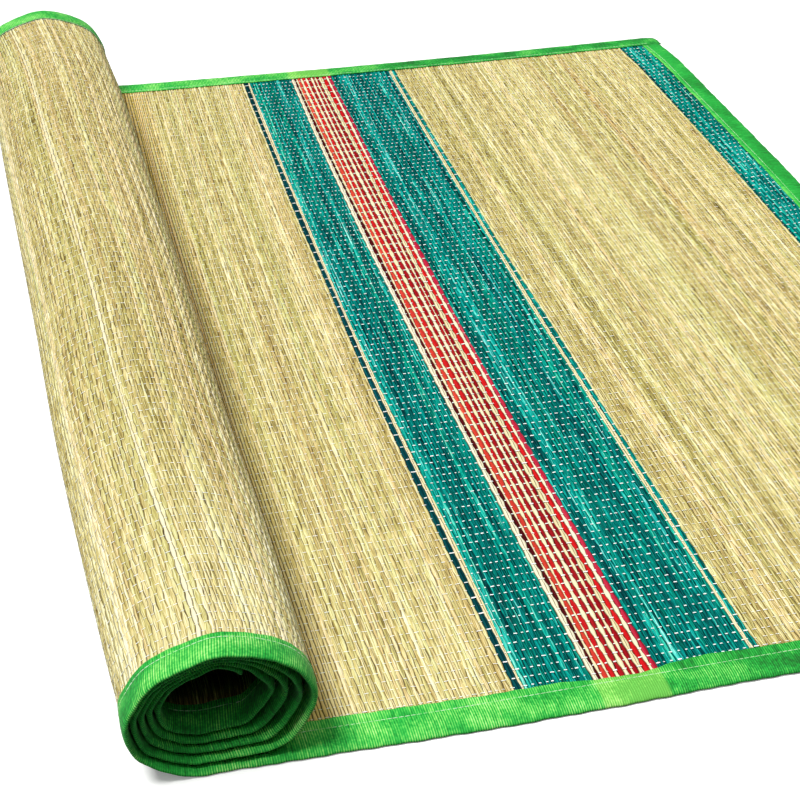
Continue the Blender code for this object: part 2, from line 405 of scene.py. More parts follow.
def show(pieces):
    """Print what was made, and how many faces each piece has."""
    for piece in pieces:
        print(piece.name, len(piece.data.polygons), "faces")


# %% [markdown]
# ## Small helpers for nodes
#
# Shader trees and Geometry Nodes trees are both built by one function that adds a node,
# gives it its settings, and links or fills its inputs. Where nodes follow each other in a
# row, a second one adds them all. The others turn colours, written as in a paint program,
# into the linear numbers that Blender mixes light with, and start a material with the
# values that are the same all over it.

# %% Adding nodes, reading colours, starting a material
# The kinds of node that come up most often.
RANGE = "ShaderNodeMapRange"
NOISE = "ShaderNodeTexNoise"
VECTOR = "ShaderNodeCombineXYZ"


def linear(code):
    """A colour written as six hex digits, in linear light with full cover."""
    parts = [int(code[i:i + 2], 16) / 255 for i in (0, 2, 4)]
    light = [p / 12.92 if p <= 0.04045 else ((p + 0.055) / 1.055) ** 2.4 for p in parts]
    return (*light, 1.0)


def add(tree, kind, inputs=(), stops=(), **settings):
    """A new node. Kind is a node's type, or an operation of the Math node. Inputs are given
    in order or by name, as values, sockets or nodes, and a ramp's stops as (place, hex)."""
    if "Node" not in kind:
        settings["operation"] = kind
        kind = "ShaderNodeMath"
    node = tree.nodes.new(kind)
    for name, value in settings.items():
        setattr(node, name, value)
    pairs = inputs.items() if isinstance(inputs, dict) else enumerate(inputs)
    for key, value in pairs:
        if isinstance(value, bpy.types.Node):
            value = value.outputs[0]
        if isinstance(value, bpy.types.NodeSocket):
            tree.links.new(value, node.inputs[key])
        else:
            node.inputs[key].default_value = value
    for number, (place, code) in enumerate(stops):
        if number == len(node.color_ramp.elements):
            node.color_ramp.elements.new(1.0)
        node.color_ramp.elements[number].position = place
        node.color_ramp.elements[number].color = linear(code)
    return node


def chain(tree, value, *steps):
    """Nodes in a row. Each step is a kind and the inputs after the first, which is the
    result so far."""
    for kind, *others in steps:
        value = add(tree, kind, (value, *others))
    return value


def new_material(name, **values):
    """A material with its tree, its surface node, and that node's even values set."""
    material = bpy.data.materials.new(name)
    material.use_nodes = True
    surface = material.node_tree.nodes["Principled BSDF"]
    for socket, value in values.items():
        surface.inputs[socket.replace("_", " ")].default_value = value
    return material, material.node_tree, surface


# %% [markdown]
# ## The grass
#
# The weft is split stalks of a dried river grass. Each stalk has its own shade, from pale
# cream through straw and olive to a reddish tan, and the shade drifts in long streaks along
# it. Its skin has a low sheen. Dyed stalks keep the same streaks under the dye, because the
# dye sinks deeper into the soft side of a split stalk than into its skin. So one function
# makes every grass finish, and they differ mostly in their shades. Pictures of grass could
# be used as well, but noise stretched along each counted stalk never crosses a gap.
#
# The woven pieces carry three attributes: "stalk" counts stalks from the right end,
# "across" is the distance across in metres, and "pair" marks the broadest stalks. Between
# two stalks a dark line of painted shade stands for the shade in the gap, and it widens and
# narrows.
#
# The mat also changes as a whole. Where it bends at the roll's foot, its stalks are painted
# lighter and its gaps darker, as painted light and shade beside the roll, and the stalks are
# browner. The rolled part is bleached towards its near edge. The turns inside the roll are
# painted darker, as painted shade.

# %% Grass finishes
# How far a tone runs on along a stalk, in metres, from the slowest noise to the quickest.
BUNDLE_RUN = 2.40
HUE_RUN = 1.20
STALK_RUN = 0.600
BLADE_RUN = 0.150
FIBRE_RUN = 0.018
GAP_RUN = 0.014
BLADES = 4.0
BUNDLE_STALKS = 5.0
# How strongly the tone follows the stalk, its streaks, its blades, its neighbours, its fibres.
STRAW_SHARES = (0.30, 0.20, 1.10, 0.18, 2.10)
DYED_SHARES = (0.30, 0.45, 1.65, 0.16, 1.00)
EVEN_SHARES = (0.26, 0.45, 0.85, 0.20, 0.50)
STALK_CHANGES = (
    # first and last stalk of each change
    (236.0, 245.0),  # into the bend at the roll's foot
    (264.0, 276.0),  # out of the bend
    (180.0, 310.0),  # into the sun
    (392.0, 412.0),  # into the roll's inner turns
)
# Painted light and shade at the roll's foot: lighter stalks and darker gaps.
BENT_TONE = 0.24
BEND_GAP_SHADE = 0.40
# Painted shade: the turns inside the roll are painted darker.
INNER_SHADE_TONE = -0.40
BLEACHING = {"From Min": 0.02, "From Max": 0.26, "To Min": 0.17, "To Max": 0.0}


def grass_finish(name, shades, gap, tints, shares=EVEN_SHARES, runs=1.0, gloss=0.05,
                 seam=0.495):
    """Split grass. Shades and tints are (place, hex) pairs, and gap is a dark hex. Runs
    stretches the noises, and seam is how far from a stalk's middle a closed gap starts."""
    material, tree, surface = new_material(name, Roughness=0.62, Specular_IOR_Level=gloss)
    stalk, across, pair = (
        add(tree, "ShaderNodeAttribute", attribute_name=label).outputs["Fac"]
        for label in ("stalk", "across", "pair")
    )
    number = add(tree, "FLOOR", (stalk,))
    blade = add(tree, "MULTIPLY", (stalk, BLADES))
    blade_number = add(tree, "FLOOR", (blade,))
    near_gap = chain(tree, stalk, ("ADD", 0.5), ("FLOOR",))
    own = add(tree, "ShaderNodeTexWhiteNoise", {"W": number}, noise_dimensions="1D")

    # Each noise is stretched along the stalk. A large step between two whole numbers keeps
    # neighbouring stalks or blades unlike, and a small one makes them share a tone.
    noises = []
    for counted, step, run, layer, roughness in (
        (number, 3.7, STALK_RUN * runs, 0.0, 0.6),
        (blade_number, 5.3, BLADE_RUN * runs, 4.0, 0.6),
        (blade, 1.9, FIBRE_RUN * runs, 8.0, 0.6),
        (number, 1.0 / BUNDLE_STALKS, BUNDLE_RUN * runs, 12.0, 0.6),
        (number, 0.8, HUE_RUN * runs, 16.0, 0.6),
        (near_gap, 2.9, GAP_RUN, 20.0, 0.5),
    ):
        side = add(tree, "MULTIPLY", (counted, step))
        ahead = add(tree, "MULTIPLY", (across, 1.0 / run))
        spot = add(tree, VECTOR, (side, ahead, layer))
        noises.append(add(tree, NOISE, {
            "Vector": spot, "Scale": 1.0, "Detail": 2.0, "Roughness": roughness,
        }))
    streak, fine_streak, fibre, bundle, hue, gap_shade_width = noises

    into_bend, out_of_bend, into_sun, inner = (
        add(tree, RANGE, {"Value": stalk, "From Min": first, "From Max": last})
        for first, last in STALK_CHANGES
    )
    bent = add(tree, "SUBTRACT", (into_bend, out_of_bend))
    sunlit = add(tree, "SUBTRACT", (into_sun, inner))
    near = add(tree, RANGE, {"Value": across, **BLEACHING})
    tone = add(tree, "MULTIPLY", (own, shares[0]))
    for source, share in (
        (bent, BENT_TONE), (sunlit, near), (inner, INNER_SHADE_TONE),
        *zip((streak, fine_streak, bundle, fibre), shares[1:]),
    ):
        tone = add(tree, "MULTIPLY_ADD", (source, share, tone))
    tone = add(tree, "SUBTRACT", (tone, sum(shares) / 2 - 0.5))
    painted = add(tree, "ShaderNodeValToRGB", (tone,), shades)
    tint = add(tree, "ShaderNodeValToRGB", (hue,), tints)
    for factor, colour in ((1.0, tint), (bent, linear("FFEAB4"))):
        painted = add(tree, "ShaderNodeMix", {"Factor": factor, 6: painted, 7: colour},
                      data_type="RGBA", blend_type="MULTIPLY").outputs[2]

    # The painted shade in the gap between two stalks widens and narrows along them, so its
    # dark line is broken.
    off_middle = chain(tree, stalk, ("SUBTRACT", number), ("SUBTRACT", 0.5), ("ABSOLUTE",))
    # Painted shade: in the bend at the roll's foot the gaps are darker.
    gap_shade_width = add(tree, "MULTIPLY_ADD", (bent, BEND_GAP_SHADE, gap_shade_width))
    edge = add(tree, RANGE, {
        "Value": gap_shade_width, "From Min": 0.34, "From Max": 0.72, "To Min": seam, "To Max": 0.20,
    })
    clear = add(tree, RANGE, {"Value": off_middle, "From Min": 0.505, "From Max": edge},
                interpolation_type="SMOOTHSTEP")
    # A broad stalk is a pair of blades, and a thin line of painted shade shows where they
    # meet.
    line = add(tree, RANGE, {
        "Value": off_middle, "From Min": 0.02, "From Max": 0.10, "To Min": 0.75, "To Max": 0.0,
    })
    line = add(tree, "MULTIPLY", (line, pair))
    clear = add(tree, "SUBTRACT", (clear, line), use_clamp=True)
    # The gap colour is painted shade that darkens the edges of each stalk.
    painted = add(tree, "ShaderNodeMix", {"Factor": clear, 6: linear(gap), 7: painted},
                  data_type="RGBA").outputs[2]
    tree.links.new(painted, surface.inputs["Base Color"])

    relief = add(tree, "MULTIPLY_ADD", (fine_streak, 1.2, fibre))
    bump = add(tree, "ShaderNodeBump", {
        "Strength": 0.5, "Distance": 0.0004, "Height": relief,
    })
    tree.links.new(bump.outputs[0], surface.inputs["Normal"])
    return material


# %% [markdown]
# Nine shades of grass are in the mat. The undyed one wanders most, from olive to tan. The
# bleached one is nearly white, and between its thin stalks the painted shade of the gaps is
# broader. The dyes are a bright teal with pale streaks, a flat dark teal, and five reds from
# coral to maroon, as in a handful of stalks that took one dye bath unlike each other.

# %% Nine shades of grass
STRAW_TINTS = (
    (0.26, "E8F0C4"), (0.42, "F4F6D2"), (0.54, "FFFCE4"), (0.66, "FFF4DC"), (0.80, "FDE6C8"),
)
CREAM_TINTS = ((0.30, "F3F5DC"), (0.50, "FFFDF4"), (0.75, "FFF6EC"))
DYE_TINTS = ((0.30, "D8E6F0"), (0.50, "FFFFFF"), (0.70, "F4FFE6"))
FLAT_DYES = (
    # name, painted shade in the gaps, shades from dark to pale
    ("dark_teal_dyed_grass", "001010", (
        (0.00, "001C20"), (0.50, "003A40"), (0.85, "0A6468"), (1.00, "209890"))),
    ("red_dyed_grass", "30060A", (
        (0.00, "900A14"), (0.30, "B81018"), (0.52, "D61C20"), (0.76, "E43028"),
        (1.00, "F06A50"))),
    ("dark_red_dyed_grass", "28040A", (
        (0.00, "5C0610"), (0.30, "860C16"), (0.52, "A4121C"), (0.76, "B82024"),
        (1.00, "CC5044"))),
    ("coral_dyed_grass", "3A0A08", (
        (0.00, "A82420"), (0.40, "D23C30"), (0.60, "E2543F"), (1.00, "F49A78"))),
    ("crimson_dyed_grass", "2A060C", (
        (0.00, "700A20"), (0.50, "B01834"), (0.80, "CE3450"), (1.00, "E27080"))),
    ("maroon_dyed_grass", "1C0404", (
        (0.00, "200406"), (0.50, "4C080E"), (0.80, "7C141C"), (1.00, "A03A3C"))),
)
natural_grass = grass_finish("undyed_split_grass", (
    (0.00, "66522E"), (0.14, "8F7C4A"), (0.30, "B9A76F"), (0.45, "D3C48D"),
    (0.58, "E4D8A8"), (0.72, "F3EBCA"), (0.86, "FCF6E2"), (1.00, "FFFDF4"),
), "46341A", STRAW_TINTS, STRAW_SHARES, gloss=0.15)
teal_grass = grass_finish("teal_dyed_grass", (
    (0.00, "001A20"), (0.22, "003A3E"), (0.40, "006660"), (0.54, "008478"),
    (0.66, "00A496"), (0.78, "28C8B6"), (0.90, "74E4D4"), (1.00, "B0F6EA"),
), "001414", DYE_TINTS, DYED_SHARES, runs=0.5)
# The bleached grass starts its painted gap shade further from a stalk's middle, so the shade
# is broader.
cream_grass = grass_finish("bleached_split_grass", (
    (0.00, "CDB988"), (0.30, "EADDB0"), (0.50, "F5ECCA"), (0.75, "FAF4DE"), (1.00, "FFFCF0"),
), "3C3820", CREAM_TINTS, seam=0.32)
flat_dyed = [grass_finish(name, shades, gap, DYE_TINTS) for name, gap, shades in FLAT_DYES]
GRASSES = (natural_grass, teal_grass, *flat_dyed, cream_grass)
print(len(GRASSES), "grass finishes")

# %% [markdown]
# The stripes are dyed stalks, woven in as they come. This list counts them from the right
# end. The other end of the mat, which is inside the roll, mirrors it, as on such mats.

# %% The order of the stalks
NATURAL, TEAL, DARK_TEAL, RED, DARK_RED, CORAL, CRIMSON, MAROON, CREAM = range(9)
RED_BAND_ROW = (CRIMSON, CREAM, RED, CREAM, DARK_RED, CREAM, DARK_RED, CREAM, DARK_RED,
                CREAM, RED, CREAM, CORAL, CREAM, MAROON, CREAM)
STRIPE_ROWS = (
    # finish, stalks
    (TEAL, 19),
    (NATURAL, 109),
    (TEAL, 1),
    (CREAM, 2),
    (TEAL, 26),
    *((finish, 1) for finish in RED_BAND_ROW),
    (TEAL, 20),
    (CREAM, 2),
    (DARK_TEAL, 1),
)
STALKS = 734
WEAVE_START = 0.0013
STALK_PITCH = (MAT_LENGTH - 2 * WEAVE_START) / STALKS
THREADS = 124
THREAD_PITCH = (MAT_WIDTH - 2 * WEAVE_START) / THREADS

striped = np.concatenate([[finish] * count for finish, count in STRIPE_ROWS])
plain = np.full(STALKS - 2 * len(striped), NATURAL)
STALK_FINISH = np.concatenate((striped, plain, striped[::-1]))
print(len(striped), "stalks to the end of the stripes;", "a stalk takes",
      round(STALK_PITCH / MM, 3), "mm and a thread", round(THREAD_PITCH / MM, 3), "mm")

# %% [markdown]
# No two stalks are equally thick. Each gets a width of its own here, as a share of the mean.
# The stripes have a few telling ones: slim cream pairs, a broad dark stalk beside each pair,
# and the red band's stalks, which a maker would count one by one. The borders of the stripes
# stay where they are, so only the stalks in between give way.

# %% The width of each stalk
WIDTH_SPREAD = 0.17
# One bleached stalk strayed into the plain field, and runs down the top of the roll.
LONE_STALK = 330
RED_BAND = (157, 173)
SPECIAL_WIDTHS = (
    # first stalk, widths from there on
    (128, (1.60, 0.62, 0.62)),
    (RED_BAND[0], (1.20, 1.06, 1.22, 1.74, 0.92, 0.86, 0.88, 1.26,
                   1.00, 1.18, 1.18, 0.92, 1.26, 0.76, 0.74, 1.82)),
    (193, (0.52, 0.52, 1.66)),
    (LONE_STALK - 1, (1.10, 1.00, 1.10)),
)
STRETCHES = (
    # first stalk, last stalk, and the length of the whole stretch in mean widths
    (0, 19, 20.0), (19, 128, 107.4), (131, 157, 26.46), (*RED_BAND, 18.0),
    (173, 193, 17.7), (196, STALKS, STALKS - 195.10),
)
BROAD = 1.28

random = np.random.default_rng(12)
stalk_widths = np.exp(random.normal(0.0, WIDTH_SPREAD, STALKS))
for first, widths in SPECIAL_WIDTHS:
    stalk_widths[first:first + len(widths)] = widths
for first, last, length in STRETCHES:
    stalk_widths[first:last] *= length / stalk_widths[first:last].sum()
STALK_EDGES = np.concatenate(([0.0], np.cumsum(stalk_widths)))
STALK_FINISH[LONE_STALK] = CREAM
RED_BAND_RUN = tuple(WEAVE_START + STALK_EDGES[i] * STALK_PITCH for i in RED_BAND)
PAIRS = (stalk_widths > BROAD) & np.isin(STALK_FINISH, (NATURAL, TEAL, CREAM, DARK_TEAL))
print("the stalks take", round(float(STALK_EDGES[-1]), 2), "mean widths, and the thinnest is",
      round(float(stalk_widths.min() * STALK_PITCH / MM), 2), "mm")

# %% [markdown]
# ## The weave, grown by Geometry Nodes
#
# In a plain weave each stalk goes over one thread and under the next, and its neighbour
# does the opposite. Where a thread passes over, it pinches the stalk. Where the thread goes
# under, the stalk swells into the room that its pinched neighbours leave. That makes the
# chains of long lozenges that the mat shows.
#
# All of it follows from one wave that changes sign from stalk to stalk. So the tree takes
# a plain grid, works out for each point which stalk and thread it belongs to, and lets the
# wave move the point. A stalk has three rows of points: the gap before it, and its two
# shoulders. A thread has two columns, which sit a quarter to either side of it.

# %% A tree for woven strips
WEAVE_COUNTS = ("First stalk", "Stalks", "Threads", "Parity")
WEAVE_SIZES = ("Start", "Stalk pitch", "Thread pitch")


def new_tree(name, counts, sizes):
    """A Geometry Nodes tree with named inputs, and the outputs that hand them out."""
    tree = bpy.data.node_groups.new(name, "GeometryNodeTree")
    sockets = tree.interface
    sockets.new_socket("Geometry", in_out="OUTPUT", socket_type="NodeSocketGeometry")
    for kind, labels in (
        ("Geometry", ("Geometry",)), ("Int", counts), ("Float", sizes),
        ("Material", ("Material",)),
    ):
        for label in labels:
            sockets.new_socket(label, in_out="INPUT", socket_type="NodeSocket" + kind)
    return tree, tree.nodes.new("NodeGroupInput").outputs


def grid_numbers(tree, columns):
    """The row and the column of each point of a grid."""
    index = add(tree, "GeometryNodeInputIndex")
    row = chain(tree, index, ("DIVIDE", columns), ("FLOOR",))
    before = add(tree, "MULTIPLY", (row, columns))
    return row, add(tree, "SUBTRACT", (index, before))


def end_tree(tree, geometry, material):
    """Close a tree with Realize Instances and Set Material."""
    real = add(tree, "GeometryNodeRealizeInstances", (geometry,))
    dressed = add(tree, "GeometryNodeSetMaterial", {"Geometry": real, "Material": material})
    add(tree, "NodeGroupOutput", (dressed,))


def woven_strip_tree():
    """A flat strip of plain weave as a grid, in metres along, across and up."""
    tree, size = new_tree(
        "woven strip", WEAVE_COUNTS + ("Band start", "Band end"),
        WEAVE_SIZES + ("Swell", "Band swell", "Crown", "Wave", "Unevenness", "Gap height",
                       "Barrel"))
    rows = add(tree, "MULTIPLY_ADD", (size["Stalks"], 3.0, 1.0))
    columns = add(tree, "MULTIPLY", (size["Threads"], 2.0))
    grid = add(tree, "GeometryNodeMeshGrid", {"Vertices X": rows, "Vertices Y": columns})
    row, column = grid_numbers(tree, columns)
    local = chain(tree, row, ("DIVIDE", 3.0), ("FLOOR",))
    step = add(tree, "MULTIPLY_ADD", (local, -3.0, row))
    stalk = add(tree, "ADD", (local, size["First stalk"]))
    thread = add(tree, "MULTIPLY_ADD", (column, 0.5, -0.25))

    # The wave is one where the stalk swells over a thread, and minus one where it is pinched.
    wave = chain(tree, stalk, ("ADD", thread), ("ADD", size["Parity"]),
                 ("MULTIPLY", math.pi), ("COSINE",), ("MULTIPLY", math.sqrt(2.0)))

    # A shoulder lies 0.28 or 0.72 of the way over the stalk.
    first = add(tree, "MINIMUM", (step, 1.0))
    share = add(tree, "MULTIPLY", (first, -0.16))
    share = add(tree, "MULTIPLY_ADD", (step, 0.44, share))
    side = add(tree, "MULTIPLY_ADD", (share, 2.0, -1.0))
    after = chain(tree, stalk, ("SUBTRACT", size["Band start"]), ("GREATER_THAN", -0.5))
    before = chain(tree, size["Band end"], ("SUBTRACT", stalk), ("GREATER_THAN", 0.5))
    in_band = add(tree, "MULTIPLY", (after, before))
    more = add(tree, "SUBTRACT", (size["Band swell"], size["Swell"]))
    swell = chain(tree, in_band, ("MULTIPLY_ADD", more, size["Swell"]), ("MULTIPLY", wave))
    counted = add(tree, "ADD", (stalk, share))
    along = chain(tree, swell, ("MULTIPLY_ADD", side, counted),
                  ("MULTIPLY_ADD", size["Stalk pitch"], size["Start"]))
    # The two columns of every other thread are set wider apart, and those of the threads
    # between them closer. So half of the stalks get long barrels and short waists.
    whole = chain(tree, thread, ("ADD", 0.5), ("FLOOR",))
    other = chain(tree, whole, ("FLOORED_MODULO", 2.0), ("MULTIPLY_ADD", 8.0, -4.0))
    across = chain(tree, thread, ("SUBTRACT", whole), ("MULTIPLY", other),
                   ("MULTIPLY_ADD", size["Barrel"], thread), ("ADD", 0.5),
                   ("MULTIPLY_ADD", size["Thread pitch"], size["Start"]))

    # Each stalk has its own thickness, and it changes a little along the stalk.
    own = add(tree, "ShaderNodeTexWhiteNoise", {"W": stalk}, noise_dimensions="1D")
    spot = add(tree, "MULTIPLY", (thread, 0.35))
    spot = add(tree, VECTOR, (counted, spot, 0.0))
    uneven = add(tree, NOISE, {"Vector": spot, "Scale": 1.0, "Detail": 1.0})
    uneven = chain(tree, own, ("ADD", uneven), ("SUBTRACT", 1.0))
    crown = add(tree, "MULTIPLY_ADD", (wave, size["Wave"], size["Crown"]))
    crown = add(tree, "MULTIPLY_ADD", (uneven, size["Unevenness"], crown))
    rise = add(tree, "SUBTRACT", (crown, size["Gap height"]))
    height = add(tree, "MULTIPLY_ADD", (first, rise, size["Gap height"]))

    place = add(tree, VECTOR, (along, across, height))
    woven = add(tree, "GeometryNodeSetPosition", {"Geometry": grid, "Position": place})
    for label, value in (("stalk", counted), ("across", across)):
        woven = add(tree, "GeometryNodeStoreNamedAttribute", {
            "Geometry": woven, "Name": label, "Value": value,
        }, data_type="FLOAT", domain="POINT")
    end_tree(tree, woven, size["Material"])
    return tree


def grow(tree, values, start=None):
    """Run a tree with named values and return the result as a plain mesh."""
    holder = put("holder", start or bpy.data.meshes.new("start"))
    modifier = holder.modifiers.new("grow", "NODES")
    modifier.node_group = tree
    for item in tree.interface.items_tree:
        if item.in_out == "INPUT" and item.name in values:
            modifier[item.identifier] = values[item.name]
    graph = bpy.context.evaluated_depsgraph_get()
    grown = bpy.data.meshes.new_from_object(
        holder.evaluated_get(graph), preserve_all_data_layers=True, depsgraph=graph)
    holder.modifiers.remove(modifier)
    bpy.data.objects.remove(holder)
    return grown


def read_points(mesh):
    """A mesh's points as an array of rows."""
    points = np.empty(len(mesh.vertices) * 3)
    mesh.vertices.foreach_get("co", points)
    return points.reshape(-1, 3)


strip_tree = woven_strip_tree()
print("the strip tree has", len(strip_tree.nodes), "nodes")

# %% [markdown]
# A handloom doesn't lay stalks quite parallel. A sum of slow waves pushes them together and
# apart, and the cotton threads are pushed by the same amount, so they stay on their stalks.

# %% Weave and lay a strip
# Swells and barrel are shares of one pitch, and heights are over the sheet's middle.
FLAT_SWELL = 0.07
ROLL_SWELL = 0.11
RED_SWELL = 0.11
BARREL = 0.09
CROWN = 0.00074
WAVE = 0.00018
UNEVENNESS = 0.00024
GAP_HEIGHT = -0.00005
# The plain back takes this many stalks in one step, fewer where the mat winds.
FLAT_BACK_STEPS = 12
ROLL_BACK_STEPS = 3
BACK_STATIONS = 63
STRAY_ROWS = (
    # size, stalk run, across run, shift
    (0.00016, 0.0061, 0.31, 0.4),
    (0.00020, 0.0097, -0.22, 2.1),
    (0.00030, 0.0173, 0.47, 4.4),
    (0.00035, 0.0410, 0.73, 1.3),
)


def stray(points):
    """The points, shifted along the mat to the stalks' own widths and the loom's waves."""
    moved = points.copy()
    counted = (points[:, 0] - WEAVE_START) / STALK_PITCH
    counted = np.interp(counted, np.arange(STALKS + 1), STALK_EDGES)
    moved[:, 0] = WEAVE_START + counted * STALK_PITCH
    for size, run, cross, shift in STRAY_ROWS:
        turn = points[:, 0] / run + points[:, 1] / cross
        moved[:, 0] += size * np.sin(2 * math.pi * turn + shift)
    return moved


def plain_grid(along, across, height):
    """A coarse grid with its two attributes, for a face that is hardly seen."""
    a, b = np.meshgrid(along, across, indexing="ij")
    points = np.column_stack((a.ravel(), b.ravel(), np.full(a.size, height)))
    return points, (points[:, 0] - WEAVE_START) / STALK_PITCH


def shell_piece(name, upper, lower, shapes, materials, finish):
    """A closed piece from an upper and a lower grid, laid on the mat's path."""
    (up_points, up_stalk), (low_points, low_stalk) = upper, lower
    points = np.concatenate((up_points, low_points))
    stalk = np.concatenate((up_stalk, low_stalk))
    first = len(up_points)
    quads = np.concatenate((
        grid_faces(*shapes[0], 0, True), grid_faces(*shapes[1], first, False)))
    edge = wall(border(*shapes[0], 0), border(*shapes[1], first))
    faces = quads.tolist() + edge.tolist()
    smooth = np.arange(len(faces)) < len(quads)
    middle = np.concatenate((stalk[quads].mean(1), stalk[edge].mean(1)))
    number = np.clip(middle.astype(int), 0, STALKS - 1)
    places = lay(stray(points))
    pair = PAIRS[np.clip((stalk + 0.1).astype(int), 0, STALKS - 1)]
    attributes = {"stalk": stalk, "across": points[:, 1], "pair": pair}
    piece = mesh_piece(name, places, faces, attributes, materials, finish[number], smooth)
    sharpen_gaps(piece.data, stalk)
    return piece


def sharpen_gaps(mesh, stalk):
    """Two stalks meet in a sharp crease, so each keeps a lit side and a shaded side."""
    ends = np.empty(len(mesh.edges) * 2, np.int32)
    mesh.edges.foreach_get("vertices", ends)
    ends = ends.reshape(-1, 2)
    in_gap = np.abs(stalk - np.round(stalk)) < 0.01
    crease = in_gap[ends[:, 0]] & in_gap[ends[:, 1]]
    crease &= np.abs(stalk[ends[:, 0]] - stalk[ends[:, 1]]) < 0.5
    layer = mesh.attributes.new("sharp_edge", "BOOLEAN", "EDGE")
    layer.data.foreach_set("value", crease)


def weave_inputs(first, last, seen_above):
    """The inputs that the trees for stalks and for threads share."""
    return {
        "First stalk": first, "Stalks": last - first, "Threads": THREADS,
        "Parity": 0 if seen_above else 1, "Start": WEAVE_START,
        "Stalk pitch": float(STALK_PITCH), "Thread pitch": float(THREAD_PITCH),
    }


def woven_piece(name, first, last, seen_above=True):
    """A strip of real weave between two stalks, with a plain back."""
    mesh = grow(strip_tree, {
        **weave_inputs(first, last, seen_above), "Material": natural_grass,
        "Swell": FLAT_SWELL if seen_above else ROLL_SWELL, "Crown": CROWN, "Wave": WAVE,
        "Unevenness": UNEVENNESS, "Gap height": GAP_HEIGHT, "Barrel": BARREL,
        "Band start": RED_BAND[0], "Band end": RED_BAND[1], "Band swell": RED_SWELL,
    })
    points = read_points(mesh)
    stalk = np.empty(len(points))
    mesh.attributes["stalk"].data.foreach_get("value", stalk)
    bpy.data.meshes.remove(mesh)
    shape = ((last - first) * 3 + 1, THREADS * 2)
    start, end = (WEAVE_START + STALK_PITCH * count for count in (first, last))
    steps = FLAT_BACK_STEPS if seen_above else ROLL_BACK_STEPS
    along = np.linspace(start, end, max(2, round((last - first) / steps) + 1))
    across = np.linspace(points[0, 1], points[shape[1] - 1, 1], BACK_STATIONS)
    back = (len(along), len(across))
    if seen_above:
        grids = ((points, stalk), plain_grid(along, across, -SHEET_HALF))
        shapes = (shape, back)
    else:
        points[:, 2] *= -1.0
        grids = (plain_grid(along, across, SHEET_HALF), (points, stalk))
        shapes = (back, shape)
    return shell_piece(name, *grids, shapes, GRASSES, STALK_FINISH)


def quiet_piece(name, first, last):
    """A strip whose two faces are both plain, for where the weave is hardly seen."""
    start, end = (WEAVE_START + STALK_PITCH * count for count in (first, last))
    along = np.linspace(start, end, last - first + 1)
    half = WEAVE_START + THREAD_PITCH / 4
    across = np.linspace(half, MAT_WIDTH - half, BACK_STATIONS)
    shape = (len(along), len(across))
    grids = (plain_grid(along, across, SHEET_HALF), plain_grid(along, across, -SHEET_HALF))
    return shell_piece(name, *grids, (shape, shape), GRASSES, STALK_FINISH)


CUTS = (0, 19, 128, 196, 258, 279, 394, STALKS)
end_stripe = woven_piece("weave_end_stripe", CUTS[0], CUTS[1])
right_field = woven_piece("weave_right_field", CUTS[1], CUTS[2])
stripe_group = woven_piece("weave_stripe_group", CUTS[2], CUTS[3])
left_field = woven_piece("weave_left_field", CUTS[3], CUTS[4])
under_roll = quiet_piece("weave_under_roll", CUTS[4], CUTS[5])
roll_outside = woven_piece("weave_roll_outside", CUTS[5], CUTS[6], seen_above=False)
roll_inside = quiet_piece("weave_roll_inside", CUTS[6], CUTS[7])
weaves = (end_stripe, right_field, stripe_group, left_field, under_roll, roll_outside,
          roll_inside)
show(weaves)

# %% [markdown]
# ## The cotton threads
#
# From above, a warp thread shows only where it passes over a stalk, as a short white dash
# across it. The dashes form a chequerboard. Whole threads could be woven through as curves,
# but most of their length would be hidden. So a second tree puts a point on every crossing,
# keeps every other one, and sets a short length of thread there. It has three sides only,
# with the broad one up, because there are over twenty thousand of them.

# %% Threads of cotton and of polyester
def thread_finish(name, roughness, grain, shades):
    """A twisted thread that handling has shaded a little, in patches of 1 / grain metres."""
    material, tree, surface = new_material(name, Roughness=roughness)
    place = add(tree, "ShaderNodeTexCoord").outputs["Object"]
    worn = add(tree, NOISE, {"Vector": place, "Scale": grain, "Detail": 2.0})
    colour = add(tree, "ShaderNodeValToRGB", (worn,), shades)
    tree.links.new(colour.outputs[0], surface.inputs["Base Color"])
    return material


# Twisted white cotton is matt and a clean white. Polyester sewing thread is a smooth twist
# with a soft gloss, here in a green much paler than the tape.
cotton_thread = thread_finish("white_cotton_thread", 0.85, 90.0, (
    (0.30, "E8EEE4"), (0.44, "F8FFFA"), (0.60, "FFFFFF"),
))
sewing_thread = thread_finish("pale_green_sewing_thread", 0.55, 70.0, (
    (0.35, "A9E3A0"), (0.50, "D2F2C6"), (0.70, "F2FFEA"),
))
print("thread finishes:", cotton_thread.name, "and", sewing_thread.name)


# %% A tree for the dashes of thread
def set_shapes(tree, size, shape, least, most, places):
    """Close a tree with copies of an upright shape, which are laid down along the mat and
    stretched unlike each other."""
    spread = add(tree, VECTOR, (size["Thickness"], size["Width"], size["Length"]))
    laid = add(tree, "GeometryNodeTransform", {
        "Geometry": shape.outputs["Mesh"], "Rotation": (0.0, math.pi / 2, 0.0),
        "Scale": spread,
    })
    stretch = add(tree, "FunctionNodeRandomValue", {
        "Min": least, "Max": most, "Seed": size["Seed"],
    }, data_type="FLOAT_VECTOR")
    copies = add(tree, "GeometryNodeInstanceOnPoints", {
        **places, "Instance": laid, "Scale": stretch,
    })
    end_tree(tree, copies, size["Material"])


